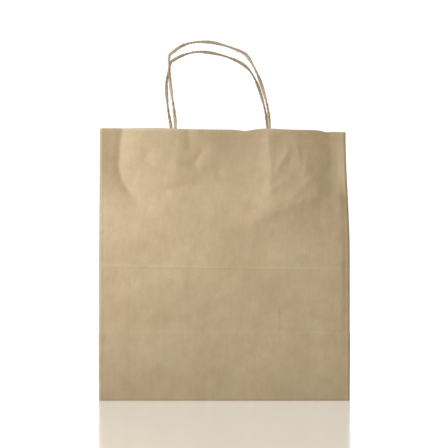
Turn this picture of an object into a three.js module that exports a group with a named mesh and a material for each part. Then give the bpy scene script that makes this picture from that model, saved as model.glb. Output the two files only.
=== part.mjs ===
// Flat-folding kraft paper gift bag with two twisted-paper handles.
// Millimetres, +Z up. The front wall faces -Y and the base lies on z = 0.
// Every sheet is a thin plate, and neighbouring sheets are a paper-thin gap apart.
import * as THREE from 'three';

// Outside of the open bag.
const WIDTH = 260;
const DEPTH = 140;
const HEIGHT = 281;

// Sheets and the gap between glued layers or across a crease.
const PAPER = 0.4;
const GAP = 0.3;

// Creases. The gusset halves turn about lines set in from the corners,
// so that the folded layers have room between the front and back walls.
const CORNER_CREASE_Y = 67;
const STRIP_CREASE_Z = 70;
const BASE_STACK = 3 * PAPER + 2 * GAP;
const WALL_BOTTOM_Z = BASE_STACK + GAP;
const DIAGONAL_GAP = 0.25;
const CREASE_CLEARANCE = 0.6;
const TRIANGLE_INSET = 1;
const TRIANGLE_TIP_CUT = 1.6;

// Turned-over top edge and the glued side seam.
const HEM_DEPTH = 38;
const HEM_BELOW_EDGE = 0.2;
const SEAM_LAP_WIDTH = 20;

// Base: the outer flap laps over the inner one, and both cover the side tucks.
const OUTER_FLAP_DEPTH = 92;
const INNER_FLAP_DEPTH = 84;
const FLAP_CORNER_CUT = 30;
const TUCK_DEPTH = 66;
const TUCK_SIDE_CLEARANCE = 0.5;

// Handles. Each arch is the loop's centre line as x and the height above the cord's bend,
// which is just over the bag's edge.
const CORD_RADIUS = 1.6;
const CORD_SIDES = 8;
const LOOP_STEPS = 72;
const COVER_ARC_STEPS = 8;
const PATCH_HALF_WIDTH = 60;
const PATCH_HEIGHT = 34;
const PATCH_BELOW_EDGE = 3;
const LEG_END_Z = 248;
const HANDLE_BEND_Z = 289;
const HANDLES = {
  front: {
    side: -1,
    patchX: -2.5,
    arch: [[-51, 0], [-53, 15], [-56, 33], [-57, 51], [-56, 66], [-43, 78], [-20, 81],
      [2, 77.5], [21, 70], [31, 57], [38, 41], [43.5, 23], [46.5, 0]],
  },
  back: {
    side: 1,
    patchX: -5.5,
    arch: [[-58.5, 0], [-61.5, 19], [-63, 39], [-62, 57], [-57, 70], [-44, 78], [-25, 81],
      [-2, 77.5], [15, 71.5], [28, 62], [36, 48], [43, 29], [47.5, 0]],
  },
};

const KRAFT = '#c3a67a';
const KRAFT_SHADE = '#b59768';
const CORD_COLOUR = '#cdb48a';
const PAPER_ROUGHNESS = 0.85;
const CORD_ROUGHNESS = 0.9;

const bag = new THREE.Group();
bag.name = 'paper_gift_bag';

function addPiece(name, geometry, colour, roughness) {
  const material = new THREE.MeshStandardMaterial({ color: colour, roughness, metalness: 0 });
  material.name = name;
  const mesh = new THREE.Mesh(geometry, material);
  mesh.name = name;
  bag.add(mesh);
}

function outline(points) {
  return new THREE.Shape(points.map(([u, v]) => new THREE.Vector2(u, v)));
}

function extruded(points, depth) {
  return new THREE.ExtrudeGeometry(outline(points), { depth, bevelEnabled: false, steps: 1 });
}

// A plate parallel to the front wall: points are (x, z), and it fills y to y + thickness.
function frontalPlate(points, y) {
  const geometry = extruded(points, PAPER);
  geometry.rotateX(Math.PI / 2);
  geometry.translate(0, y + PAPER, 0);
  return geometry;
}

// A plate parallel to the gussets: points are (y, z), and it fills x to x + thickness.
function sidePlate(points, x) {
  const geometry = extruded(points, PAPER);
  geometry.rotateX(Math.PI / 2);
  geometry.rotateZ(Math.PI / 2);
  geometry.translate(x, 0, 0);
  return geometry;
}

// A plate parallel to the base: points are (x, y), and it fills z to z + thickness.
function levelPlate(points, z) {
  const geometry = extruded(points, PAPER);
  geometry.translate(0, 0, z);
  return geometry;
}

function rectangle(u0, u1, v0, v1) {
  return [[u0, v0], [u1, v0], [u1, v1], [u0, v1]];
}

// The low face of a layer, counted inward from a wall's outer face (layer 0 is the wall).
function layerStart(layer) {
  return layer * (PAPER + GAP);
}

// The y of that face for the front wall (side -1) or the back wall (side 1).
function layerY(side, layer) {
  const inward = layerStart(layer);
  return side < 0 ? -DEPTH / 2 + inward : DEPTH / 2 - inward - PAPER;
}

// Height of the diagonal gusset crease, which runs from a bottom corner to the crease's middle.
function diagonalZ(y) {
  const rise = STRIP_CREASE_Z - BASE_STACK;
  return BASE_STACK + rise * (1 - Math.abs(y) / CORNER_CREASE_Y);
}

// ---- Front and back walls, with their turned-over hems -------------------------------------
const halfWidth = WIDTH / 2;
const halfGap = GAP / 2;
const hemHalfWidth = halfWidth - 2 * PAPER;

addPiece('back_panel',
  frontalPlate(rectangle(-halfWidth, halfWidth, WALL_BOTTOM_Z, HEIGHT), layerY(1, 0)),
  KRAFT, PAPER_ROUGHNESS);
addPiece('front_panel',
  frontalPlate(rectangle(-halfWidth, halfWidth, STRIP_CREASE_Z + halfGap, HEIGHT), layerY(-1, 0)),
  KRAFT, PAPER_ROUGHNESS);
addPiece('front_lower_panel',
  frontalPlate(rectangle(-halfWidth, halfWidth, WALL_BOTTOM_Z, STRIP_CREASE_Z - halfGap),
    layerY(-1, 0)),
  KRAFT, PAPER_ROUGHNESS);

for (const [name, side] of [['front', -1], ['back', 1]]) {
  addPiece(`${name}_hem`,
    frontalPlate(rectangle(-hemHalfWidth, hemHalfWidth, HEIGHT - HEM_DEPTH, HEIGHT - HEM_BELOW_EDGE),
      layerY(side, 1)),
    KRAFT_SHADE, PAPER_ROUGHNESS);
}

// The glued lap that closes the sheet into a tube, inside the back wall below its hem.
addPiece('side_seam_lap',
  frontalPlate(rectangle(-hemHalfWidth, -hemHalfWidth + SEAM_LAP_WIDTH, WALL_BOTTOM_Z + GAP,
    HEIGHT - HEM_DEPTH - GAP), layerY(1, 1)),
  KRAFT_SHADE, PAPER_ROUGHNESS);

// ---- Side gussets ---------------------------------------------------------------------------
const wallInsideY = DEPTH / 2 - PAPER - GAP;
const creaseEdgeY = CORNER_CREASE_Y - CREASE_CLEARANCE;
const upperBackHalf = [
  [halfGap, STRIP_CREASE_Z + DIAGONAL_GAP],
  [creaseEdgeY, diagonalZ(creaseEdgeY) + DIAGONAL_GAP],
  [wallInsideY, diagonalZ(creaseEdgeY) + DIAGONAL_GAP],
  [wallInsideY, HEIGHT],
  [halfGap, HEIGHT],
];
const upperFrontHalf = rectangle(-wallInsideY, -halfGap, STRIP_CREASE_Z + halfGap, HEIGHT);
const hemBackHalf = rectangle(CREASE_CLEARANCE, creaseEdgeY, HEIGHT - HEM_DEPTH,
  HEIGHT - HEM_BELOW_EDGE);
const hemFrontHalf = rectangle(-creaseEdgeY, -CREASE_CLEARANCE, HEIGHT - HEM_DEPTH,
  HEIGHT - HEM_BELOW_EDGE);
const cornerY = CORNER_CREASE_Y - TRIANGLE_INSET;
const bottomTriangle = [
  [-cornerY, WALL_BOTTOM_Z],
  [cornerY, WALL_BOTTOM_Z],
  [cornerY, diagonalZ(cornerY) - DIAGONAL_GAP],
  [0, STRIP_CREASE_Z - DIAGONAL_GAP - GAP],
  [-cornerY, diagonalZ(cornerY) - DIAGONAL_GAP],
];
const frontTriangle = [
  [-wallInsideY, WALL_BOTTOM_Z + TRIANGLE_TIP_CUT],
  [-cornerY, diagonalZ(cornerY) + DIAGONAL_GAP],
  [-TRIANGLE_INSET, diagonalZ(TRIANGLE_INSET) + DIAGONAL_GAP],
  [-TRIANGLE_INSET, STRIP_CREASE_Z - halfGap],
  [-wallInsideY, STRIP_CREASE_Z - halfGap],
];
for (const [name, side] of [['left', -1], ['right', 1]]) {
  const outer = side < 0 ? -halfWidth : halfWidth - PAPER;
  const inner = outer - side * (PAPER + GAP);
  addPiece(`${name}_gusset_back`, sidePlate(upperBackHalf, outer), KRAFT, PAPER_ROUGHNESS);
  addPiece(`${name}_gusset_front`, sidePlate(upperFrontHalf, outer), KRAFT, PAPER_ROUGHNESS);
  addPiece(`${name}_gusset_back_hem`, sidePlate(hemBackHalf, inner), KRAFT_SHADE, PAPER_ROUGHNESS);
  addPiece(`${name}_gusset_front_hem`, sidePlate(hemFrontHalf, inner), KRAFT_SHADE, PAPER_ROUGHNESS);
  addPiece(`${name}_bottom_triangle`, sidePlate(bottomTriangle, outer), KRAFT, PAPER_ROUGHNESS);
  addPiece(`${name}_front_triangle`, sidePlate(frontTriangle, outer), KRAFT, PAPER_ROUGHNESS);
}

// ---- Pasted block base ----------------------------------------------------------------------
const halfDepth = DEPTH / 2;
addPiece('base_outer_flap',
  levelPlate([[-halfWidth, -halfDepth], [halfWidth, -halfDepth],
    [halfWidth, -halfDepth + OUTER_FLAP_DEPTH - FLAP_CORNER_CUT],
    [halfWidth - FLAP_CORNER_CUT, -halfDepth + OUTER_FLAP_DEPTH],
    [-halfWidth + FLAP_CORNER_CUT, -halfDepth + OUTER_FLAP_DEPTH],
    [-halfWidth, -halfDepth + OUTER_FLAP_DEPTH - FLAP_CORNER_CUT]], 0),
  KRAFT, PAPER_ROUGHNESS);
addPiece('base_inner_flap',
  levelPlate([[-halfWidth, halfDepth], [-halfWidth, halfDepth - INNER_FLAP_DEPTH + FLAP_CORNER_CUT],
    [-halfWidth + FLAP_CORNER_CUT, halfDepth - INNER_FLAP_DEPTH],
    [halfWidth - FLAP_CORNER_CUT, halfDepth - INNER_FLAP_DEPTH],
    [halfWidth, halfDepth - INNER_FLAP_DEPTH + FLAP_CORNER_CUT], [halfWidth, halfDepth]],
  PAPER + GAP),
  KRAFT, PAPER_ROUGHNESS);
for (const [name, side] of [['left', -1], ['right', 1]]) {
  const innerEdge = halfWidth - TUCK_DEPTH;
  const halfTuck = halfDepth - TUCK_SIDE_CLEARANCE;
  const tuck = [[side * halfWidth, -halfTuck], [side * halfWidth, halfTuck],
    [side * innerEdge, halfDepth - TUCK_DEPTH], [side * innerEdge, -halfDepth + TUCK_DEPTH]];
  addPiece(`base_tuck_${name}`, levelPlate(tuck, 2 * (PAPER + GAP)), KRAFT_SHADE, PAPER_ROUGHNESS);
}

// ---- Handles: a cord loop on each wall, its legs glued between two strips -------------------
const cordDepth = layerStart(2) + PAPER + GAP + CORD_RADIUS;

function cordTube(points, steps) {
  const path = new THREE.CatmullRomCurve3(points, false, 'centripetal');
  const section = new THREE.Shape();
  section.absarc(0, 0, CORD_RADIUS, 0, Math.PI * 2, false);
  return new THREE.ExtrudeGeometry(section, {
    steps,
    curveSegments: CORD_SIDES,
    bevelEnabled: false,
    extrudePath: path,
  });
}

// The cover strip's section: flat against the backing strip, and raised over each cord leg.
function coverSection(x0, x1, legs) {
  const flat = layerStart(3);
  const inside = [];
  const outside = [];
  for (const leg of legs) {
    const clear = CORD_RADIUS + GAP;
    inside.push([leg - clear, flat]);
    outside.push([leg - clear - PAPER, flat + PAPER]);
    for (let i = 0; i <= COVER_ARC_STEPS; i += 1) {
      const a = Math.PI * (1 - i / COVER_ARC_STEPS);
      inside.push([leg + clear * Math.cos(a), cordDepth + clear * Math.sin(a)]);
      outside.push([leg + (clear + PAPER) * Math.cos(a), cordDepth + (clear + PAPER) * Math.sin(a)]);
    }
    inside.push([leg + clear, flat]);
    outside.push([leg + clear + PAPER, flat + PAPER]);
  }
  return [[x0, flat], ...inside, [x1, flat], [x1, flat + PAPER], ...outside.reverse(),
    [x0, flat + PAPER]];
}

for (const [name, handle] of Object.entries(HANDLES)) {
  const cordY = handle.side * (halfDepth - cordDepth);
  const x0 = handle.patchX - PATCH_HALF_WIDTH;
  const x1 = handle.patchX + PATCH_HALF_WIDTH;
  const top = HEIGHT - PATCH_BELOW_EDGE;
  const legs = [handle.arch[0][0], handle.arch.at(-1)[0]];

  addPiece(`${name}_backing_strip`,
    frontalPlate(rectangle(x0, x1, top - PATCH_HEIGHT, top), layerY(handle.side, 2)),
    KRAFT_SHADE, PAPER_ROUGHNESS);

  const section = coverSection(x0, x1, legs);
  const cover = section.map(([x, inward]) => [x, handle.side * (halfDepth - inward)]);
  const coverGeometry = extruded(cover, PATCH_HEIGHT);
  coverGeometry.translate(0, 0, top - PATCH_HEIGHT);
  addPiece(`${name}_cover_strip`, coverGeometry, KRAFT_SHADE, PAPER_ROUGHNESS);

  const legTop = HANDLE_BEND_Z - halfGap;
  legs.forEach((x, i) => {
    const ends = [new THREE.Vector3(x, cordY, LEG_END_Z), new THREE.Vector3(x, cordY, legTop)];
    addPiece(`${name}_handle_leg_${i === 0 ? 'left' : 'right'}`, cordTube(ends, 1),
      CORD_COLOUR, CORD_ROUGHNESS);
  });

  const arch = handle.arch.map(([x, rise]) => (
    new THREE.Vector3(x, cordY, HANDLE_BEND_Z + halfGap + rise)
  ));
  addPiece(`${name}_handle_loop`, cordTube(arch, LOOP_STEPS), CORD_COLOUR, CORD_ROUGHNESS);
}

export default bag;
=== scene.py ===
import math

import bpy
import numpy as np
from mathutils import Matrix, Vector


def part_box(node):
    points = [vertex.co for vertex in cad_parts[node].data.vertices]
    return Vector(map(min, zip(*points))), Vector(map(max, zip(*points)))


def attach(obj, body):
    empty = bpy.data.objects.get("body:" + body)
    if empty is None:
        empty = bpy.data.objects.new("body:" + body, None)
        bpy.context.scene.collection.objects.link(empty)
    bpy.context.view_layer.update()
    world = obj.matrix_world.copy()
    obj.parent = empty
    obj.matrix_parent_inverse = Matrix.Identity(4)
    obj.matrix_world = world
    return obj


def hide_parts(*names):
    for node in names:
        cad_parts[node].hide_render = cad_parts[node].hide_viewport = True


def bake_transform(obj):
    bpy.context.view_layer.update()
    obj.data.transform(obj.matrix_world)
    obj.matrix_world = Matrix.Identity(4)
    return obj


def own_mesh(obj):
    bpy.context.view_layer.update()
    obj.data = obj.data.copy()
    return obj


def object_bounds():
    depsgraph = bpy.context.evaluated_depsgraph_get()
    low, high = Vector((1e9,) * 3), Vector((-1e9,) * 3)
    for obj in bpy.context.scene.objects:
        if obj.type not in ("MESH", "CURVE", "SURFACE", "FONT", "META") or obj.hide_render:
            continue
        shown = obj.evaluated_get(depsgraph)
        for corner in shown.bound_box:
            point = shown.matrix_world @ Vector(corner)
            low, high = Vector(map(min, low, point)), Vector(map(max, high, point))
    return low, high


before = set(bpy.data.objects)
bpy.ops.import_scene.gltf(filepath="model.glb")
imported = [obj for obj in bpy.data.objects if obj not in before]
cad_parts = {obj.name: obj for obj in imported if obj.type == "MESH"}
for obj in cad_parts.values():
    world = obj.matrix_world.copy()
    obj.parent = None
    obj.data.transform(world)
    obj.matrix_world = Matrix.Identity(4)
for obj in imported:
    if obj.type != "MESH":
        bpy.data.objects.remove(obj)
cad_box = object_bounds()

# ---- The stand -----------------------------------------------------------------------------------
# A glossy white table with a white sweep behind it, a lamp at the front left whose beam rakes
# across the wide wall, and a lamp behind. None of this is part of the bag.
scene = bpy.context.scene
scene.view_settings.view_transform = "Standard"

eye_height = 0.1834
eye_distance = 2.40
eye_aside = -0.0004
camera_data = bpy.data.cameras.new("view")
camera_data.sensor_width = 36
camera_data.lens = 180.7
camera = bpy.data.objects.new("view", camera_data)
camera.location = (eye_aside, -eye_distance, eye_height)
camera.rotation_euler = (math.pi / 2, 0, 0)
scene.collection.objects.link(camera)
scene.camera = camera

table_polish = 0.15
set_side = 4
sweep_y = 2.5


def glow_sheet(name, corners, white, mirror, tone=(1, 1, 1, 1)):
    """A flat white sheet of the set, which is seen and mirrored but lights nothing.

    white is how brightly it glows, and mirror is the share of it that reflects.
    """
    mesh = bpy.data.meshes.new(name)
    mesh.from_pydata(corners, [], [(0, 1, 2, 3)])
    sheet = bpy.data.objects.new(name, mesh)
    scene.collection.objects.link(sheet)
    sheet.visible_diffuse = False
    paint = bpy.data.materials.new(name)
    paint.use_nodes = True
    nodes = paint.node_tree.nodes
    nodes.clear()
    out = nodes.new("ShaderNodeOutputMaterial")
    glow = nodes.new("ShaderNodeEmission")
    glow.inputs["Color"].default_value = tone
    glow.inputs["Strength"].default_value = white
    gloss = nodes.new("ShaderNodeBsdfGlossy")
    gloss.inputs["Roughness"].default_value = table_polish
    blend = nodes.new("ShaderNodeMixShader")
    blend.inputs["Fac"].default_value = mirror
    link = paint.node_tree.links.new
    link(glow.outputs[0], blend.inputs[1])
    link(gloss.outputs[0], blend.inputs[2])
    link(blend.outputs[0], out.inputs["Surface"])
    mesh.materials.append(paint)


table = [(-set_side, -set_side, 0), (set_side, -set_side, 0),
         (set_side, sweep_y, 0), (-set_side, sweep_y, 0)]
sweep = [(-set_side, sweep_y, -0.5), (set_side, sweep_y, -0.5),
         (set_side, sweep_y, 3.5), (-set_side, sweep_y, 3.5)]
glow_sheet("table", table, 2.65, 0.84, (1, 0.97, 0.92, 1))
glow_sheet("sweep", sweep, 1.1, 0.0)

sky = bpy.data.worlds.new("room")
scene.world = sky
sky.use_nodes = True
sky.node_tree.nodes["Background"].inputs["Color"].default_value = (1.0, 1.0, 1.0, 1)
sky.node_tree.nodes["Background"].inputs["Strength"].default_value = 0.27


def lamp(name, place, aim, side, watts, spread=math.pi):
    """A square white lamp at a place, turned towards its aim. A narrow spread makes a beam."""
    data = bpy.data.lights.new(name, "AREA")
    data.shape = "SQUARE"
    data.size = side
    data.energy = watts
    data.spread = spread
    light = bpy.data.objects.new(name, data)
    light.location = place
    light.rotation_euler = (Vector(aim) - Vector(place)).to_track_quat("-Z", "Y").to_euler()
    scene.collection.objects.link(light)


lamp("key", (-0.64, -0.98, 0.41), (-0.02, -0.07, 0.19), 0.20, 1.2, 1.05)
lamp("back_rim", (0.9, 1.2, 1.1), (0.0, 0.0, 0.2), 0.5, 8.0)

# ---- Twisted paper cords -------------------------------------------------------------------------
# Each handle is one length of kraft paper rolled and twisted into a hard cord. It stands up by its
# own stiffness, and its two ends are glued flat between the strips inside the bag's mouth.
# Sizes here are in metres, but for the arches.
cord_form = {
    "Radius": 0.0017,
    "Pitch": 0.075,
    "Start turn": 1.3,
    "Flatness": 0.58,
    "Groove depth": 0.10,
    "Unevenness": 0.08,
}
cord_step = 0.001
cord_y = 0.0663
leg_end_z = 0.248
bend_z = 0.289
leg_heights = [leg_end_z, 0.256, 0.264, 0.272, 0.280]
wall_side = {"front": -1, "back": 1}
# Each arch as x and the height above the bend, in millimetres.
arches = {
    "front": [(-51, 0), (-52.4, 13), (-55.2, 33), (-56.8, 47), (-57.3, 58), (-57.3, 66.5),
              (-56.6, 70), (-54, 72.3), (-43, 79.8), (-28.4, 83.2), (-12, 82.6), (2.3, 79),
              (13, 75), (20.5, 71.6), (23.8, 68.6), (30, 58.5), (37, 43), (42.6, 25),
              (45.4, 12), (46.5, 0)],
    "back": [(-58.5, 0), (-61.4, 18), (-63.2, 36), (-63.4, 50), (-62, 58.5), (-60, 67),
             (-58.9, 71.4), (-56.6, 73.6), (-46.6, 79), (-35.2, 82.4), (-26.2, 83.2), (-13.8, 81.9),
             (-1.2, 79), (13.8, 73.2), (21, 69), (28, 62.4), (35.3, 49.5), (41.4, 32),
             (45.2, 16), (47.5, 0)],
}


# Places of a Mix node's colour sockets, which share their names with its other sockets.
colour_a, colour_b, mixed_colour = 6, 7, 2


class Wire:
    """A socket of a shader tree. Sums and products of wires and numbers add Math nodes."""

    def __init__(self, tree, socket):
        self.tree = tree
        self.socket = socket

    def make(self, kind, settings, values, output=0):
        """Adds a node of any kind with its settings and its inputs' values, and gives an output."""
        node = self.tree.nodes.new(kind)
        for name, value in settings.items():
            setattr(node, name, value)
        for name, value in values.items():
            if isinstance(value, Wire):
                self.tree.links.new(value.socket, node.inputs[name])
            else:
                node.inputs[name].default_value = value
        return Wire(self.tree, node.outputs[output])

    def maths(self, operation, first, second):
        """A Math node on two wires or numbers."""
        return self.make("ShaderNodeMath", {"operation": operation}, {0: first, 1: second})

    def __add__(self, other):
        return self.maths("ADD", self, other)

    __radd__ = __add__

    def __mul__(self, other):
        return self.maths("MULTIPLY", self, other)

    __rmul__ = __mul__

    def noise(self, scale, detail, rough=0.5):
        """Cloudy noise read at this vector."""
        return self.make("ShaderNodeTexNoise", {},
                         {"Vector": self, "Scale": scale, "Detail": detail, "Roughness": rough})

    def stretch(self, scale):
        """This vector scaled along x, y and z."""
        return self.make("ShaderNodeMapping", {}, {"Vector": self, "Scale": scale})

    def window(self, low, high):
        """0 below low, 1 above high, and straight between."""
        return self.make("ShaderNodeMapRange", {"clamp": True},
                         {"Value": self, "From Min": low, "From Max": high})

    def tint(self, first, second):
        """A mix from the first colour to the second by this value."""
        first, second = [c if isinstance(c, Wire) else (*c, 1) for c in (first, second)]
        return self.make("ShaderNodeMix", {"data_type": "RGBA"},
                         {"Factor": self, colour_a: first, colour_b: second}, mixed_colour)

    def painted(self, attribute):
        """An attribute of the piece's points, from 0 to 1."""
        return self.make("ShaderNodeAttribute", {"attribute_name": attribute}, {}, "Fac")


def new_finish(name):
    """A bare material: its shader node, and a wire on the object's own coordinates."""
    finish = bpy.data.materials.new(name)
    finish.use_nodes = True
    tree = finish.node_tree
    shader = next(n for n in tree.nodes if n.type == "BSDF_PRINCIPLED")
    shader.inputs["Specular IOR Level"].default_value = 0.5
    place = tree.nodes.new("ShaderNodeTexCoord")
    return finish, shader, Wire(tree, place.outputs["Object"])


def finish_surface(shader, colour, roughness, height, depth):
    """Joins colour, roughness and a bump of that depth in metres to the shader."""
    tree = colour.tree
    tree.links.new(colour.socket, shader.inputs["Base Color"])
    tree.links.new(roughness.socket, shader.inputs["Roughness"])
    bump = height.make("ShaderNodeBump", {}, {"Height": height, "Strength": 1.0, "Distance": depth})
    tree.links.new(bump.socket, shader.inputs["Normal"])


cord_finish, cord_shader, place = new_finish("twisted_kraft_cord")
# How deep each point lies in a groove, used for painted shade in the grooves.
groove_shade = place.painted("groove_shade")
cloud = place.noise(60, 3)
strand = place.noise(1500, 3)
cord_colour = strand.window(0.3, 0.7).tint((0.48, 0.36, 0.215), (0.66, 0.53, 0.35))
cord_colour = (0.5 * cloud.window(0.4, 0.65)).tint(cord_colour, (0.40, 0.295, 0.19))
# Painted shade: the cord's grooves are darkened towards a dark brown.
cord_colour = (groove_shade * 0.45).tint(cord_colour, (0.24, 0.165, 0.09))
finish_surface(cord_shader, cord_colour, 0.7 + 0.2 * cloud, strand, 0.00015)


def cord_tree(sizes):
    """Nodes that turn a line into a folded ribbon of paper, twisted slowly along its length.

    Gives the tree and the identifiers of its inputs.
    """
    ring_points = 30
    folds = 5
    waver_per_metre = 55.0
    waver_turn = 2.5
    tree = bpy.data.node_groups.new("twisted_cord", "GeometryNodeTree")
    sockets = {}
    face = tree.interface
    face.new_socket("Line", in_out="INPUT", socket_type="NodeSocketGeometry")
    for name in (*sizes, "Finish"):
        kind = "NodeSocketFloat" if name in sizes else "NodeSocketMaterial"
        sockets[name] = face.new_socket(name, in_out="INPUT", socket_type=kind).identifier
    face.new_socket("Cord", in_out="OUTPUT", socket_type="NodeSocketGeometry")
    start = tree.nodes.new("NodeGroupInput")
    end = tree.nodes.new("NodeGroupOutput")

    def add(kind, settings, values, output=0):
        node = tree.nodes.new(kind)
        for name, value in settings.items():
            setattr(node, name, value)
        for name, value in values.items():
            if isinstance(value, bpy.types.NodeSocket):
                tree.links.new(value, node.inputs[name])
            else:
                node.inputs[name].default_value = value
        return node.outputs[output]

    def sums(operation, first, second):
        return add("ShaderNodeMath", {"operation": operation}, {0: first, 1: second})

    given = start.outputs
    line = add("GeometryNodeResampleCurve", {"mode": "LENGTH"},
               {"Curve": given["Line"], "Length": cord_step})
    along = add("GeometryNodeSplineParameter", {}, {}, "Length")
    turns = sums("DIVIDE", along, given["Pitch"])
    wander = add("ShaderNodeTexNoise", {"noise_dimensions": "1D"},
                 {"W": sums("MULTIPLY", along, waver_per_metre)})
    wobble = sums("MULTIPLY", wander, waver_turn)
    line = add("GeometryNodeSetCurveTilt", {},
               {"Curve": line, "Tilt": sums("ADD", sums("MULTIPLY", turns, 2 * math.pi),
                                           sums("ADD", wobble, given["Start turn"]))})
    swell = sums("MULTIPLY", sums("SUBTRACT", wander, 0.5), given["Unevenness"])
    size = sums("MULTIPLY", given["Radius"], sums("ADD", swell, 1.0))
    ring = add("GeometryNodeCurvePrimitiveCircle", {"mode": "RADIUS"},
               {"Resolution": ring_points, "Radius": 1.0})
    turn = sums("MULTIPLY", add("GeometryNodeInputIndex", {}, {}), folds * math.pi / ring_points)
    lobe = sums("ABSOLUTE", sums("COSINE", turn, 0.0), 0.0)
    hollow = sums("POWER", sums("SUBTRACT", 1.0, lobe), 2.2)
    shrink = sums("MULTIPLY", hollow, given["Groove depth"])
    point = add("GeometryNodeInputPosition", {}, {})
    squeeze = add("ShaderNodeCombineXYZ", {}, {"X": 1.0, "Y": given["Flatness"], "Z": 1.0})
    oval = add("ShaderNodeVectorMath", {"operation": "MULTIPLY"}, {0: point, 1: squeeze})
    inward = add("ShaderNodeVectorMath", {"operation": "SCALE"},
                 {0: oval, "Scale": sums("SUBTRACT", 1.0, shrink)})
    # Each ring point's groove depth, kept for the painted shade in the grooves.
    ring = add("GeometryNodeStoreNamedAttribute", {"data_type": "FLOAT", "domain": "POINT"},
               {"Geometry": ring, "Name": "groove_shade", "Value": hollow})
    ring = add("GeometryNodeSetPosition", {}, {"Geometry": ring, "Position": inward})
    skin = add("GeometryNodeCurveToMesh", {},
               {"Curve": line, "Profile Curve": ring, "Scale": size, "Fill Caps": True})
    skin = add("GeometryNodeSetShadeSmooth", {}, {"Geometry": skin})
    skin = add("GeometryNodeRealizeInstances", {}, {"Geometry": skin})
    skin = add("GeometryNodeSetMaterial", {}, {"Geometry": skin, "Material": given["Finish"]})
    tree.links.new(skin, end.inputs["Cord"])
    return tree, sockets


def even_line(points, step, fineness=40):
    """A smooth line through the points, as places a step apart."""
    points = np.array(points, float)
    gaps = np.sqrt(np.linalg.norm(np.diff(points, axis=0), axis=1))
    knots = np.concatenate([[0], np.cumsum(gaps)])
    slopes = np.gradient(points, knots, axis=0, edge_order=1)
    fine = []
    for i in range(len(points) - 1):
        t = np.linspace(0, 1, fineness, endpoint=i == len(points) - 2)[:, None]
        span = knots[i + 1] - knots[i]
        fine.append((2 * t**3 - 3 * t**2 + 1) * points[i] + (t**3 - 2 * t**2 + t) * span * slopes[i]
                    + (3 * t**2 - 2 * t**3) * points[i + 1] + (t**3 - t**2) * span * slopes[i + 1])
    fine = np.concatenate(fine)
    reach = np.concatenate([[0], np.cumsum(np.linalg.norm(np.diff(fine, axis=0), axis=1))])
    places = np.linspace(0, reach[-1], int(reach[-1] / step) + 1)
    return np.stack([np.interp(places, reach, fine[:, k]) for k in range(3)], axis=1)


twist, twist_inputs = cord_tree(cord_form)
for wall, side in wall_side.items():
    depth = side * cord_y
    route = [(x / 1000, depth, bend_z + rise / 1000) for x, rise in arches[wall]]
    left, right = route[0][0], route[-1][0]
    up_leg = [(left, depth, z) for z in leg_heights]
    down_leg = [(right, depth, z) for z in reversed(leg_heights)]
    route = up_leg + route + down_leg
    centre = even_line(route, cord_step)
    curve = bpy.data.curves.new("line", "CURVE")
    curve.dimensions = "3D"
    spline = curve.splines.new("POLY")
    spline.points.add(len(centre) - 1)
    for knot, spot in zip(spline.points, centre):
        knot.co = (*spot, 1)
    guide = bpy.data.objects.new("line", curve)
    scene.collection.objects.link(guide)
    shape = guide.modifiers.new("twist", "NODES")
    shape.node_group = twist
    for size, value in cord_form.items():
        shape[twist_inputs[size]] = value
    shape[twist_inputs["Finish"]] = cord_finish
    bpy.context.view_layer.update()
    mesh = bpy.data.meshes.new_from_object(guide.evaluated_get(bpy.context.evaluated_depsgraph_get()))
    bpy.data.objects.remove(guide)
    handle = bpy.data.objects.new(f"{wall}_handle_cord", mesh)
    scene.collection.objects.link(handle)
    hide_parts(f"{wall}_handle_loop", f"{wall}_handle_leg_left", f"{wall}_handle_leg_right")
    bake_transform(handle)

# ---- Kraft paper and the back wall ---------------------------------------------------------------
# The bag is one sheet of unbleached kraft, folded round and glued. The back wall is one face of it,
# from the base to the top edge, and it wraps a little way round each corner.
# Sizes from here on are in millimetres.
half_width = round(1000 * cad_box[1][0], 1)
half_depth = round(1000 * cad_box[1][1], 1)
top_z = round(1000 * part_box("back_panel")[1][2], 1)
strip_crease_z = half_depth
corner_radius = 1.6
corner_wrap = 3.0
paper_thickness = 0.25
floor_gap = 0.15
fibre_run = 26.0
fibre_fine = 330.0


def kraft(name, streaks, pale, deep):
    """Matt kraft: cloudy colour, long faint fibres, a few dark flecks, worn creases, and painted shade
    where a piece asks for it.
    """
    olive = (0.50, 0.41, 0.245)
    bark = (0.30, 0.205, 0.11)
    worn = (0.70, 0.58, 0.41)
    # The dark brown of the painted shade.
    painted_shade_colour = (0.30, 0.208, 0.112)
    finish, shader, place = new_finish(name)
    cloud = place.noise(14, 5, 0.6)
    patch = place.noise(75, 4, 0.6)
    fibre = place.stretch(streaks).noise(1.0, 4, 0.7)
    fleck = place.stretch((1, 1, 0.7)).noise(640, 2)
    grit = place.noise(1900, 2)
    shade = 0.34 * cloud + 0.30 * patch + 0.17 * fibre + 0.19 * grit
    colour = shade.window(0.38, 0.62).tint(deep, pale)
    green = place.stretch((1, 1, 0.6)).noise(48, 4, 0.6)
    colour = (0.28 * green.window(0.45, 0.68)).tint(colour, olive)
    colour = (0.30 * fleck.window(0.64, 0.72)).tint(colour, bark)
    colour = (0.62 * place.painted("wear") * patch.window(0.25, 0.55)).tint(colour, worn)
    # Painted shade: the paper darkens towards a dark brown where the piece's points carry it.
    colour = place.painted("painted_shade").tint(colour, painted_shade_colour)
    rough = 0.5 + 0.2 * fibre
    cockle = place.noise(60, 2)
    finish_surface(shader, colour, rough, 0.15 * fibre + 0.09 * grit + 0.2 * patch + cockle, 0.0009)
    return finish


upright_fibres = (fibre_fine, fibre_fine, fibre_run)
inner_pale, inner_deep = (0.57, 0.435, 0.262), (0.45, 0.33, 0.185)
wall_kraft = kraft("kraft_wall", upright_fibres, (0.594, 0.453, 0.270), (0.470, 0.345, 0.190))
inner_kraft = kraft("kraft_turned_in", upright_fibres, inner_pale, inner_deep)


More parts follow.
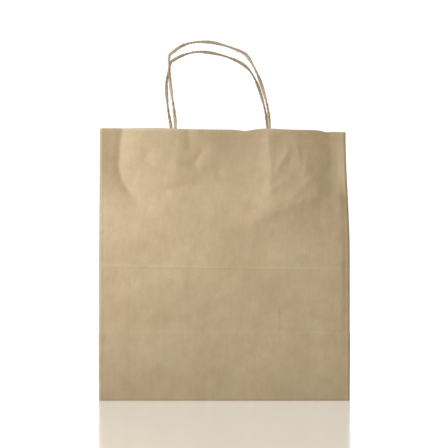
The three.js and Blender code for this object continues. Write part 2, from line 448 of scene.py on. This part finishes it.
def steps(low, high, step, fine_spots=(), fine_step=0.5, fine_reach=3.0):
    """Places from low to high, a step apart, and closer together near the fine spots."""
    places = list(np.linspace(low, high, max(2, int(round((high - low) / step)) + 1)))
    for spot in fine_spots:
        places += list(np.arange(spot - fine_reach, spot + fine_reach + 1e-6, fine_step))
    places = np.unique(np.round(np.clip(places, low, high), 3))
    keep = [places[0]]
    for place in places[1:]:
        if place - keep[-1] > 0.7 * fine_step:
            keep.append(place)
    keep[-1] = high
    return np.array(keep)


def ease(value):
    """0 below 0, 1 above 1, and a smooth rise between."""
    value = np.clip(value, 0, 1)
    return value * value * (3 - 2 * value)


def creased(creases, x, z):
    """The height of paper folds, each (height, width to its right, width to its left, its line).

    Right and left are as seen on going along the line. A negative height is a valley.
    """
    total = np.zeros(np.shape(x))
    for height, width_right, width_left, path in creases:
        away = np.full(np.shape(x), np.inf)
        width = np.full(np.shape(x), float(width_right))
        for (x0, z0), (x1, z1) in zip(path, path[1:]):
            dx, dz = x1 - x0, z1 - z0
            share = np.clip(((x - x0) * dx + (z - z0) * dz) / (dx * dx + dz * dz), 0, 1)
            here = np.hypot(x - x0 - share * dx, z - z0 - share * dz)
            leftness = (dx * (z - z0) - dz * (x - x0)) / np.hypot(dx, dz) / np.maximum(here, 0.01)
            mixed = width_right + (width_left - width_right) * (0.5 + 0.5 * np.clip(leftness, -1, 1))
            width = np.where(here < away, mixed, width)
            away = np.minimum(away, here)
        blunt = 0.3 * min(width_right, width_left)
        total += height * np.exp(-(np.hypot(away, blunt) - blunt) / width)
    return total


def dented(dents, x, z):
    """Soft swellings, each (height, reach across, reach up, its place across, its place up)."""
    return sum(height * np.exp(-((x - cx) / wide) ** 2 - ((z - cz) / tall) ** 2)
               for height, wide, tall, cx, cz in dents)


def round_corner(s):
    """A wall's section: place s along the paper gives x, and the depth n behind the wall's face."""
    flat = half_width - corner_radius
    arc = corner_radius * math.pi / 2
    over = np.abs(s) - flat
    angle = np.clip(over, 0, arc) / corner_radius
    x = np.minimum(np.abs(s), flat) + corner_radius * np.sin(angle)
    n = corner_radius * (1 - np.cos(angle)) + np.maximum(over - arc, 0)
    return np.sign(s) * x, n


wall_reach = half_width - corner_radius + corner_radius * math.pi / 2 + corner_wrap - corner_radius


def corner_lean(x, y, z):
    """How far the slack front corners have moved near the mouth, in x, y and z.

    The right one leans back and inward and sags. The left one only leans inward a little.
    """
    forward = ease((30 - y) / 100)
    right = ease((z - 150) / (top_z - 150)) * ease((x - 60) / 70) * forward
    left = ease((z - 120) / (top_z - 120)) * ease((-60 - x) / 70) * forward
    return -4.0 * right + 0.9 * left, 7.0 * right, -2.2 * right


def formed_sheet(name, across, up, shape, outward, finish, painted_shade=None):
    """A paper sheet on a grid. shape(u, v) gives x, y and z in millimetres, and the wear.

    The last argument, a function of x and z, gives how much painted shade darkens the paper's colour,
    from 0 to 1.
    """
    u, v = np.meshgrid(across, up)
    x, y, z, wear = shape(u.ravel(), v.ravel())
    lean = corner_lean(x, y, z)
    points = np.stack([x + lean[0], y + lean[1], z + lean[2]], axis=1) / 1000
    columns = len(across)
    first = (np.arange(len(up) - 1)[:, None] * columns + np.arange(columns - 1)).ravel()
    quads = np.stack([first, first + 1, first + columns + 1, first + columns], axis=1)
    if not outward:
        quads = quads[:, ::-1]
    mesh = bpy.data.meshes.new(name)
    mesh.from_pydata(points.tolist(), [], quads.tolist())
    rim = mesh.attributes.new("sharp_edge", "BOOLEAN", "EDGE")
    ends = np.array([edge.vertices[:] for edge in mesh.edges])
    column, row = ends % columns, ends // columns
    rim.data.foreach_set("value", ((column == 0).all(1) | (column == columns - 1).all(1)
                                   | (row == 0).all(1) | (row == len(up) - 1).all(1)))
    # Each point carries its wear and its painted shade.
    for label, share in (("wear", wear), ("painted_shade", painted_shade(x, z) if painted_shade else 0.0)):
        tone = mesh.attributes.new(label, "FLOAT", "POINT")
        tone.data.foreach_set("value", np.broadcast_to(share, x.shape).astype(np.float32))
    mesh.shade_smooth()
    mesh.materials.append(finish)
    piece = bpy.data.objects.new(name, mesh)
    scene.collection.objects.link(piece)
    skin = piece.modifiers.new("paper", "SOLIDIFY")
    skin.thickness = paper_thickness / 1000
    skin.offset = -1
    return piece


def foot_curl(z):
    """The depth of a wall's face near the floor, where the paper turns under the base."""
    turn = 1.4
    low = np.clip(turn - z, 0, turn)
    return turn - np.sqrt(turn * turn - low * low)


back_creases = [
    (2.6, 26, 34, [(-16, 286), (-10, 204)]), (-2.4, 10, 12, [(104, 286), (109, 240), (98, 214)]),
    (-2.2, 10, 14, [(-100, 286), (-106, 250), (-98, 226)]), (1.5, 7, 5, [(-60, 264), (-42, 220)]),
    (1.3, 6, 5, [(52, 270), (46, 232), (60, 206)]), (1.8, 12, 10, [(-98, 190), (-50, 176), (-8, 186)]),
    (-1.1, 7, 6, [(8, 258), (30, 244)]), (1.3, 8, 9, [(66, 186), (110, 204)]),
    (-0.9, 7, 8, [(-30, 122), (14, 108)]), (0.7, 4, 4, [(84, 128), (78, 92)]),
    (0.25, 0.9, 1.2, [(-130, 138.5), (130, 140.5)]), (0.2, 0.9, 1.2, [(-130, 70.5), (130, 69.5)]),
]
back_dents = [(1.2, 26, 30, 70, 110), (-1.0, 22, 26, 20, 150), (1.0, 30, 20, -70, 60),
              (-1.2, 24, 40, -58, 128), (1.1, 20, 26, 30, 40)]


def pinned(slack, legs, x, z):
    """A wall's slack form, held to its flat place near the top where the handle strips stiffen it."""
    stiff = ease((z - 222) / 28)
    left, right = legs
    spots = [-half_width, left, right, half_width]
    at_left = slack(np.full(np.shape(x), left), z) * np.interp(x, spots, [0, 1, 0, 0])
    at_right = slack(np.full(np.shape(x), right), z) * np.interp(x, spots, [0, 0, 1, 0])
    return slack(x, z) - stiff * (at_left + at_right)


def back_slack(x, z):
    """How far the back wall would stand out if nothing held it."""
    swell = 3.5 * np.cos(np.pi * x / (2 * half_width + 2)) * ease(z / 90)
    held = ease((half_width - np.abs(x)) / 16) * ease(z / 25)
    return swell + (creased(back_creases, x, z) + dented(back_dents, x, z)) * held


def back_swell(x, z):
    """How far the back wall stands out, with its handle's strips in place."""
    return pinned(back_slack, (arches["back"][0][0], arches["back"][-1][0]), x, z)


def wall_wear(x, z, crease_left, crease_right):
    """Paleness along a wall's corners, its cross creases and its top edge."""
    slope = crease_left + (crease_right - crease_left) * (x + half_width) / (2 * half_width)
    upper = 0.4 * np.exp(-np.abs(z - slope) / 0.9)
    lower = 0.3 * np.exp(-np.abs(z - strip_crease_z - 0.5) / 0.9)
    corner = 0.4 * np.exp(-np.abs(half_width - np.abs(x)) / 0.9)
    return np.clip(np.maximum.reduce([upper, lower, corner, 0.5 * np.exp(-(top_z - z) / 0.6)]), 0, 1)


def back_shape(depth=None):
    """The back wall's form, or that of a layer which lies depth(x, z) inside it."""
    def shape(s, z):
        x, n = round_corner(s)
        inward = depth(x, z) if depth else 0.0
        y = half_depth - n - inward - foot_curl(z) + back_swell(x, z)
        wear = 0.0 if depth else wall_wear(x, z, 138.5, 140.5)
        return x, y, z, wear
    return shape


corner_spots = (-wall_reach + corner_wrap, wall_reach - corner_wrap)
wall_across = steps(-wall_reach, wall_reach, 1.8, corner_spots, 0.35, 2.6)
back_panel = formed_sheet("back_wall_paper", wall_across,
                          steps(floor_gap, top_z, 2.0, (strip_crease_z, 139.5), 0.5, 2.5),
                          back_shape(), False, wall_kraft)
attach(back_panel, "back_wall")
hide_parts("back_panel")
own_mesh(back_panel)

# ---- Side seam -----------------------------------------------------------------------------------
# The sheet's far edge laps 20 mm over the back wall from the inside and is glued there,
# which closes the sheet into a tube. The lap stops below the turned-in top.
seam_depth = 0.55
seam_lap = formed_sheet("side_seam_paper", steps(-128.6, -109.0, 2.0), steps(2.4, 242.5, 3.0),
                        back_shape(lambda x, z: seam_depth), False, inner_kraft)
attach(seam_lap, "back_wall")
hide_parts("side_seam_lap")
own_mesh(seam_lap)

# ---- Front wall ----------------------------------------------------------------------------------
# The wide face that is seen first. Handling has left it full of soft dents near the mouth,
# and packing flat has left two sharp creases right across it.
front_creases = [
    (-2.3, 5, 7, [(-104, 292), (-109, 264), (-110, 243), (-107, 229), (-101, 220)]),
    (-3.2, 13, 26, [(-106, 292), (-109, 264), (-110, 243), (-106, 228), (-96, 214)]),
    (2.6, 40, 26, [(-48, 290), (-50, 246), (-58, 204)]),
    (0.55, 5, 4, [(-50, 262), (-50, 236)]),
    (-1.4, 5, 6, [(-37, 278), (-36, 262)]),
    (-2.0, 5, 7, [(-31, 246), (-24, 258)]),
    (-2.5, 16, 10, [(-60, 218), (-34, 225), (-6, 235)]),
    (2.3, 6, 9, [(46, 272), (48, 246), (47, 219)]),
    (1.3, 4, 4, [(67, 260), (55, 240)]),
    (1.2, 5, 5, [(50, 219), (67, 231)]),
    (3.0, 12, 14, [(34, 188), (72, 203), (100, 214), (130, 208)]),
    (-2.0, 14, 12, [(111, 290), (115, 250), (112, 216)]),
    (1.3, 8, 6, [(42, 201), (70, 210), (90, 231)]),
    (0.5, 3, 2.4, [(76, 264), (80, 247)]),
    (-0.5, 3, 3, [(70, 251), (65, 237)]),
    (0.45, 3, 3, [(87, 252), (84, 236)]),
    (-0.8, 7, 5, [(-79, 257), (-89, 241), (-96, 226)]),
    (0.3, 2.2, 1.2, [(55.5, 95), (55.5, 72)]),
    (0.4, 6, 4, [(-38, 158), (-40, 136), (-42, 118)]),
    (0.4, 0.9, 1.6, [(-130, 140.2), (-20, 138.2), (130, 136.5)]),
    (0.2, 0.9, 1.4, [(-130, 71.4), (0, 70.9), (130, 70.2)]),
]
front_dents = [(-3.2, 36, 36, 20, 256), (2.3, 30, 55, 112, 124), (-1.0, 22, 26, 36, 158),
               (1.2, 26, 22, -84, 176), (0.9, 22, 18, -70, 112), (-0.9, 20, 20, -26, 92),
               (-0.9, 22, 22, 62, 96), (-0.9, 26, 18, 20, 50), (0.8, 26, 14, -80, 34),
               (-0.7, 20, 14, 92, 44), (0.9, 16, 22, -112, 196), (-0.9, 14, 20, 120, 232),
               (0.35, 9, 7, -12, 186), (-0.35, 7, 9, -88, 142), (0.35, 8, 7, 20, 118),
               (0.4, 9, 8, 82, 238), (-0.35, 8, 8, 76, 178), (0.3, 8, 6, -58, 60)]


def front_slack(x, z):
    """How far the front wall would stand out if nothing held it."""
    swell = 4.5 * np.cos(np.pi * x / (2 * half_width + 2)) * ease((z - 66) / 125)
    held = ease((half_width - np.abs(x)) / 10) * ease(z / 12)
    return swell + (creased(front_creases, x, z) + dented(front_dents, x, z)) * held


# Fine fold lines along the turned-in top and beside the two corners.
front_edge_folds = [(0.22, 0.7, 0.6, [(-130, 277.6), (130, 276.4)]),
                    (0.18, 0.7, 0.6, [(-130, 274.6), (130, 273.4)]),
                    (0.25, 0.5, 0.5, [(-127.4, 281), (-127.4, 2)]),
                    (0.25, 0.5, 0.5, [(127.4, 281), (127.4, 2)])]


def front_swell(x, z):
    """How far the front wall stands out, with its handle's strips in place and its edges folded."""
    pinned_form = pinned(front_slack, (arches["front"][0][0], arches["front"][-1][0]), x, z)
    return pinned_form + creased(front_edge_folds, x, z) * ease((half_width - np.abs(x)) / 2)


# The waves of the top edge, each (height, reach, its place across).
edge_waves = [(1.5, 70, -110), (0.7, 20, -70), (-1.4, 9, 22),
              (1.2, 16, 45), (0.8, 14, 94), (-0.9, 4, 109)]
wave_depth = 19


def front_shape(depth=None):
    """The front wall's form, or that of a layer which lies depth(x, z) inside it."""
    def shape(s, z):
        x, n = round_corner(s)
        inward = depth(x, z) if depth else 0.0
        y = -half_depth + n + inward + foot_curl(z) - front_swell(x, z)
        rise = sum(height * np.exp(-((x - place) / wide) ** 2) for height, wide, place in edge_waves)
        z = z + rise * ease((z - top_z + wave_depth) / wave_depth)
        wear = 0.0 if depth else wall_wear(x, z, 140.2, 136.5)
        return x, y, z, wear
    return shape


def front_painted_shade(x, z):
    """Painted shade on the front wall: darkest at the top middle, and fainter in the middle, along the
    bottom, near the top right and down the left edge near the top.
    """
    return dented([(0.26, 48, 42, 2, 268), (0.10, 55, 90, 0, 110), (0.13, 300, 34, 0, 8),
                   (0.12, 9, 60, -126, 270), (0.08, 50, 30, 84, 262)], x, z)


front_panel = formed_sheet("front_wall_paper",
                           steps(-wall_reach, wall_reach, 1.3, corner_spots, 0.35, 2.6),
                           steps(strip_crease_z, top_z, 1.3, (71, 137, 139, 275.6), 0.4, 2.8),
                           front_shape(), True, wall_kraft, front_painted_shade)
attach(front_panel, "front_wall")
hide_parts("front_panel")
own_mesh(front_panel)

lower_reach = wall_reach - 1.4
lower_panel = formed_sheet("front_strip_paper",
                           steps(-lower_reach, lower_reach, 1.3, corner_spots, 0.35, 2.6),
                           steps(floor_gap, strip_crease_z, 1.6, (69, 71), 0.4, 2.6),
                           front_shape(), True, wall_kraft, front_painted_shade)
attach(lower_panel, "front_strip")
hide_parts("front_lower_panel")
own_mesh(lower_panel)

# ---- Side gussets --------------------------------------------------------------------------------
# Each side is folded down its middle so that it can tuck inward. The crease never opens quite flat,
# and near the base it splits into two diagonals, with a triangle between them.
corner_crease_y = half_depth - 3.0
tuck_depth = {"left": 7.0, "right": 9.0}
side_sign = {"left": -1, "right": 1}
side_creases = {
    "left": [(1.6, 10, 8, [(-52, 286), (-44, 230), (-58, 190)]), (-1.2, 8, 6, [(34, 264), (52, 228)]),
             (1.0, 7, 6, [(20, 190), (58, 172)]), (-0.9, 7, 6, [(-50, 150), (-18, 128)])],
    "right": [(-1.8, 9, 9, [(-50, 280), (-42, 232)]), (1.5, 9, 7, [(30, 274), (46, 224), (38, 196)]),
              (1.1, 7, 6, [(-60, 196), (-22, 182)]), (-0.8, 7, 6, [(24, 140), (56, 118)])],
}


def diagonal_z(y):
    """The height of the two diagonal creases, from just over the base to the middle crease."""
    foot = 1.8
    return foot + (strip_crease_z - foot) * (1 - np.abs(y) / corner_crease_y)


def side_shape(name, low, depth=None):
    """A gusset's form, or that of its hem, which lies depth(z) inside it.

    v runs from 0 at its low edge, at the height low(y), to 1 at the top edge.
    """
    def shape(y, v):
        bottom = low(y)
        z = bottom + (top_z - bottom) * v
        held = ease((corner_crease_y - np.abs(y)) / 12)
        tuck = tuck_depth[name] * ease((z - 60) / 200) * (1 - np.abs(y) / corner_crease_y)
        out = creased(side_creases[name], y, z) * held * ease((z - 55) / 40) * ease(np.abs(y) / 10)
        inward = tuck - out + (depth(z) if depth else 0.0)
        x = side_sign[name] * (half_width - inward)
        wear = np.maximum(np.exp(-np.abs(y) / 0.8), 0.8 * np.exp(-np.abs(z - diagonal_z(y)) / 0.8))
        wear = np.maximum(wear, 0.6 * np.exp(-(top_z - z) / 0.6))
        return x, y, z, 0.0 if depth else wear
    return shape


side_rows = steps(0, 1, 0.009, (0,), 0.003, 0.01)
for name, sign in side_sign.items():
    back_half = formed_sheet(f"{name}_gusset_back_paper",
                             steps(0.0, corner_crease_y, 1.9, (0,), 0.5, 2), side_rows,
                             side_shape(name, diagonal_z), sign > 0, wall_kraft)
    front_half = formed_sheet(f"{name}_gusset_front_paper",
                              steps(-corner_crease_y, 0.0, 1.9, (0,), 0.5, 2), side_rows,
                              side_shape(name, lambda y: strip_crease_z), sign > 0, wall_kraft)
    for piece, half in ((back_half, "back"), (front_half, "front")):
        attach(piece, f"{name}_gusset_{half}_half")
        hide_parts(f"{name}_gusset_{half}")
        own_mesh(piece)


def flat_triangle(name, a, b, c, sign, dent):
    """A triangle of side paper between corners a, b and c, each (y, z), dished a little inward."""
    def shape(u, v):
        y = a[0] * (1 - u) * (1 - v) + b[0] * u * (1 - v) + c[0] * v
        z = a[1] * (1 - u) * (1 - v) + b[1] * u * (1 - v) + c[1] * v
        middle = 16 * u * (1 - u) * v * (1 - v) * (1 - v)
        inward = foot_curl(z) + dent * middle
        edge = np.minimum.reduce([u * (1 - v), (1 - u) * (1 - v), v + 0.05])
        wear = 0.6 * np.exp(-edge / 0.012)
        return sign * (half_width - inward), y, z, wear
    return formed_sheet(name, steps(0, 1, 0.02), steps(0, 0.998, 0.02), shape,
                        (sign > 0) == (b[0] > a[0]), wall_kraft)


triangle_half = 68.4
apex = (0, strip_crease_z)
for name, sign in side_sign.items():
    low = flat_triangle(f"{name}_bottom_triangle_paper", (-triangle_half, floor_gap),
                        (triangle_half, floor_gap), apex, sign, 1.6)
    high = flat_triangle(f"{name}_front_triangle_paper", apex, (-triangle_half, strip_crease_z),
                         (-triangle_half, 2 * floor_gap), sign, 0.8)
    for piece, part in ((low, "bottom"), (high, "front")):
        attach(piece, f"{name}_{part}_fold")
        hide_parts(f"{name}_{part}_triangle")
        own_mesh(piece)

# ---- Block base ----------------------------------------------------------------------------------
# The tube's end is folded square: the two side tucks go in first, then the inner flap is pasted
# over them, and the outer flap over that, with clipped corners.
base_kraft = kraft("kraft_base", (fibre_fine, fibre_run, fibre_fine), inner_pale, inner_deep)
base_reach = 129.4
base_edge_y = 69.3
corner_clip = 30.0
outer_flap_y = 22
inner_flap_y = -14
tuck_tip_x = 64.0


def base_sheet(name, node, across, near_edge, far_edge, underside):
    """A flap of the base between two edges, each y at x, with its underside at a height."""
    def shape(x, v):
        y = near_edge(x) * (1 - v) + far_edge(x) * v
        ripple = 0.25 * np.sin(x / 19) * np.sin(y / 17) * ease((66 - np.abs(y)) / 15)
        paste = 0.9 * np.exp(-np.minimum(np.abs(v), np.abs(1 - v)) / 0.012)
        return x, y, underside + np.abs(ripple), paste
    piece = formed_sheet(name, across, steps(0, 1, 0.03), shape, False, base_kraft)
    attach(piece, "base")
    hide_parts(node)


def clipped(x):
    """How much a flap's end loses at its clipped corners."""
    return np.maximum(0, np.abs(x) - (half_width - corner_clip))


def tuck_edge(x):
    """A side tuck's slanting edge, which follows the gusset's diagonal crease."""
    return np.abs(x) * 69.0 / base_reach


flap_across = steps(-base_reach, base_reach, 2.6)
base_sheet("base_outer_flap_paper", "base_outer_flap", flap_across,
           lambda x: -base_edge_y, lambda x: outer_flap_y - clipped(x), 0.02)
base_sheet("base_inner_flap_paper", "base_inner_flap", flap_across,
           lambda x: inner_flap_y + clipped(x), lambda x: base_edge_y, 0.9)
for name, sign in side_sign.items():
    inner_x, outer_x = sorted((sign * tuck_tip_x, sign * base_reach))
    base_sheet(f"base_tuck_{name}_paper", f"base_tuck_{name}", steps(inner_x, outer_x, 2.5),
               lambda x: -tuck_edge(x), tuck_edge, 1.5)

# ---- Turned-in top -------------------------------------------------------------------------------
# The top 38 mm of the sheet is folded down inside all round and glued, so the mouth has
# a double edge. It is one hem on each face between two corner creases.
hem_depth = 38.0
hem_bottom = top_z - hem_depth
roll_height = 0.6


def hem_inset(z):
    """A hem lies just inside its wall and rolls over to meet it at the top edge."""
    roll = np.clip((z - (top_z - roll_height)) / roll_height, 0, 1)
    return 0.55 * np.sqrt(1 - roll * roll) + 0.02


hem_rows = np.append(steps(hem_bottom, top_z - roll_height, 2.0), [top_z - 0.3, top_z - 0.1, top_z])
for name, form, outward in (("front", front_shape, True), ("back", back_shape, False)):
    hem = formed_sheet(f"{name}_hem_paper", steps(-128.8, 128.8, 1.8), hem_rows,
                       form(lambda x, z: hem_inset(z)), outward, inner_kraft)
    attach(hem, f"{name}_wall")
    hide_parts(f"{name}_hem")
    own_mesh(hem)
for name, sign in side_sign.items():
    for half, span in (("back", (0.4, 66.2)), ("front", (-66.2, -0.4))):
        hem = formed_sheet(f"{name}_gusset_{half}_hem_paper", steps(*span, 1.9),
                           (hem_rows - hem_bottom) / hem_depth,
                           side_shape(name, lambda y: hem_bottom, hem_inset), sign > 0, inner_kraft)
        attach(hem, f"{name}_gusset_{half}_half")
        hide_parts(f"{name}_gusset_{half}_hem")
        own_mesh(hem)

# ---- Handle strips -------------------------------------------------------------------------------
# Each cord's ends lie between two strips of kraft: a flat backing strip glued to the hem,
# and a cover strip glued over it, which bulges where it passes over each end.
strip_middle = {"front": -2.5, "back": -5.5}
strip_half_width = 60.0
strip_kraft = kraft("kraft_strip", (fibre_run, fibre_fine, fibre_fine),
                    (0.60, 0.47, 0.30), (0.49, 0.37, 0.22))
strip_rows = steps(top_z - 37, top_z - 3, 1.4)
backing_depth = 1.25
cover_depth = 1.7
cord_bulge = 4.1
bulge_half_width = 2.35


def over_cords(swell, legs):
    """The cover strip's inset: it lies on the hem, stands over the cords, and stays nearly straight."""
    def depth(x, z):
        inset = np.full(np.shape(x), cover_depth)
        end = ease((z - (leg_end_z * 1000 - 4)) / 5)
        for leg in legs:
            bulge = cord_bulge * end * np.exp(-((x - leg) / bulge_half_width) ** 4)
            inset = np.maximum(inset, cover_depth + bulge)
        return inset + np.maximum(swell(x, z) - 1, 0)
    return depth


for name, form, swell in (("front", front_shape, front_swell), ("back", back_shape, back_swell)):
    middle = strip_middle[name]
    legs = (arches[name][0][0], arches[name][-1][0])
    span = (middle - strip_half_width, middle + strip_half_width)
    outward = name == "front"
    backing = formed_sheet(f"{name}_backing_strip_paper", steps(*span, 2.0), strip_rows,
                           form(lambda x, z: backing_depth), outward, strip_kraft)
    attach(backing, f"{name}_wall")
    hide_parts(f"{name}_backing_strip")
    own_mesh(backing)
    cover = formed_sheet(f"{name}_cover_strip_paper", steps(*span, 1.6, legs, 0.35, 4.5), strip_rows,
                         form(over_cords(swell, legs)), outward, strip_kraft)
    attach(cover, f"{name}_wall")
    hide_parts(f"{name}_cover_strip")
